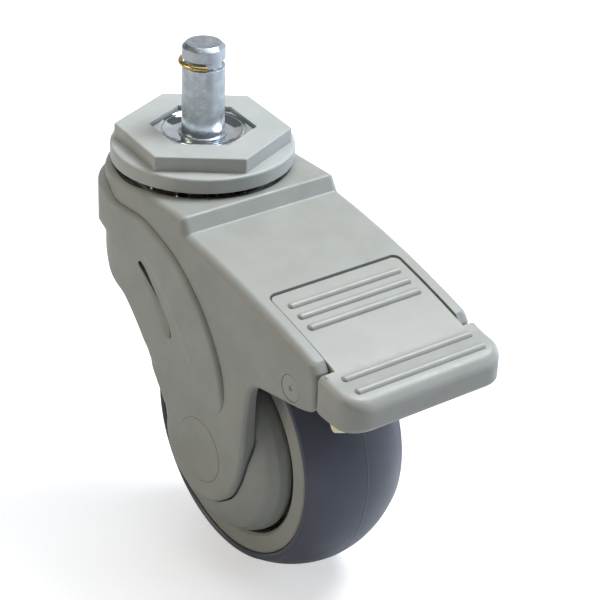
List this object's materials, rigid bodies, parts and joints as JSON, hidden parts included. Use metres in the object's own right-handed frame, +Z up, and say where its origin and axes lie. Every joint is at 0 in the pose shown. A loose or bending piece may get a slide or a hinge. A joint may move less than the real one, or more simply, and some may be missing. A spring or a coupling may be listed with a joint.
{
  "type": "chair caster wheel",
  "caption": "Swivel caster with a hooded plastic fork, a rubber tyred wheel, a rocking total lock pedal and a grip ring stem under a hexagonal cover.",
  "frame": {"origin": "on the swivel axis, in the plane of the hexagonal cover's top face, where the chair leg's end rests", "axes": "+X from the swivel axis towards the pedal's nose, +Y to the left side, along the axle, +Z up the stem"},
  "size_m": [0.1231, 0.0506, 0.1323],
  "materials": {
    "grey_nylon": "moulded glass filled nylon, satin",
    "zinc_plated_steel": "bright zinc plated",
    "bearing_steel": "polished bearing steel",
    "spring_steel": "oiled spring steel",
    "yellow_zinc_wire": "yellow zinc plated spring wire",
    "natural_nylon": "natural nylon",
    "cream_acetal": "cream acetal",
    "tyre_rubber": "blue grey thermoplastic rubber"
  },
  "bodies": {
    "stem": {"stem_pin": "zinc_plated_steel", "grip_ring": "yellow_zinc_wire", "hex_plate": "zinc_plated_steel", "top_cover": "grey_nylon", "upper_race": "zinc_plated_steel", "thrust_washer": "zinc_plated_steel", "lock_crown": "zinc_plated_steel", "kingpin_nut": "zinc_plated_steel"},
    "fork": {"fork_housing": "grey_nylon", "lower_race": "zinc_plated_steel", "ball_cage": "natural_nylon", "swivel_ball_01": "bearing_steel", "swivel_ball_02": "bearing_steel", "swivel_ball_03": "bearing_steel", "swivel_ball_04": "bearing_steel", "swivel_ball_05": "bearing_steel", "swivel_ball_06": "bearing_steel", "swivel_ball_07": "bearing_steel", "swivel_ball_08": "bearing_steel", "swivel_ball_09": "bearing_steel", "swivel_ball_10": "bearing_steel", "swivel_ball_11": "bearing_steel", "swivel_ball_12": "bearing_steel", "swivel_bush": "natural_nylon", "axle_bolt": "zinc_plated_steel", "axle_nut": "zinc_plated_steel", "axle_cap_left": "grey_nylon", "axle_cap_right": "grey_nylon", "axle_spacer_left": "zinc_plated_steel", "axle_spacer_right": "zinc_plated_steel", "bearing_spacer": "zinc_plated_steel", "thread_guard_left": "grey_nylon", "thread_guard_right": "grey_nylon", "pedal_pin": "grey_nylon", "shoe_pin": "zinc_plated_steel", "lock_pin": "zinc_plated_steel", "lock_spring": "spring_steel", "detent_spring": "spring_steel", "detent_screw": "zinc_plated_steel"},
    "wheel": {"wheel_centre": "grey_nylon", "tyre": "tyre_rubber", "wheel_bearing_left": "bearing_steel", "wheel_bearing_right": "bearing_steel"},
    "pedal": {"brake_pedal": "grey_nylon"},
    "shoe": {"brake_shoe": "cream_acetal"},
    "lock": {"lock_lever": "zinc_plated_steel"}
  },
  "joints": [
    {"name": "swivel", "type": "hinge", "parent": "stem", "child": "fork", "pos_m": [0, 0, 0], "axis": [0, 0, 1], "continuous": true},
    {"name": "wheel_spin", "type": "hinge", "parent": "fork", "child": "wheel", "pos_m": [0.0359, 0, -0.0712], "axis": [0, 1, 0], "continuous": true},
    {"name": "pedal_rock", "type": "hinge", "parent": "fork", "child": "pedal", "pos_m": [0.072, 0, -0.0348], "axis": [0, 1, 0], "range_deg": [0, 12]},
    {"name": "shoe_press", "type": "hinge", "parent": "fork", "child": "shoe", "pos_m": [0.056, 0, -0.031], "axis": [0, 1, 0], "range_deg": [0, 3]},
    {"name": "lock_lift", "type": "hinge", "parent": "fork", "child": "lock", "pos_m": [-0.016, 0, -0.0274], "axis": [0, 1, 0], "range_deg": [-2.1, 0], "deforming": ["lock_spring"]}
  ],
  "couplings": [
    {"joint": "shoe_press", "follows": "pedal_rock", "ratio": 0.25},
    {"joint": "lock_lift", "follows": "pedal_rock", "ratio": -0.175}
  ]
}
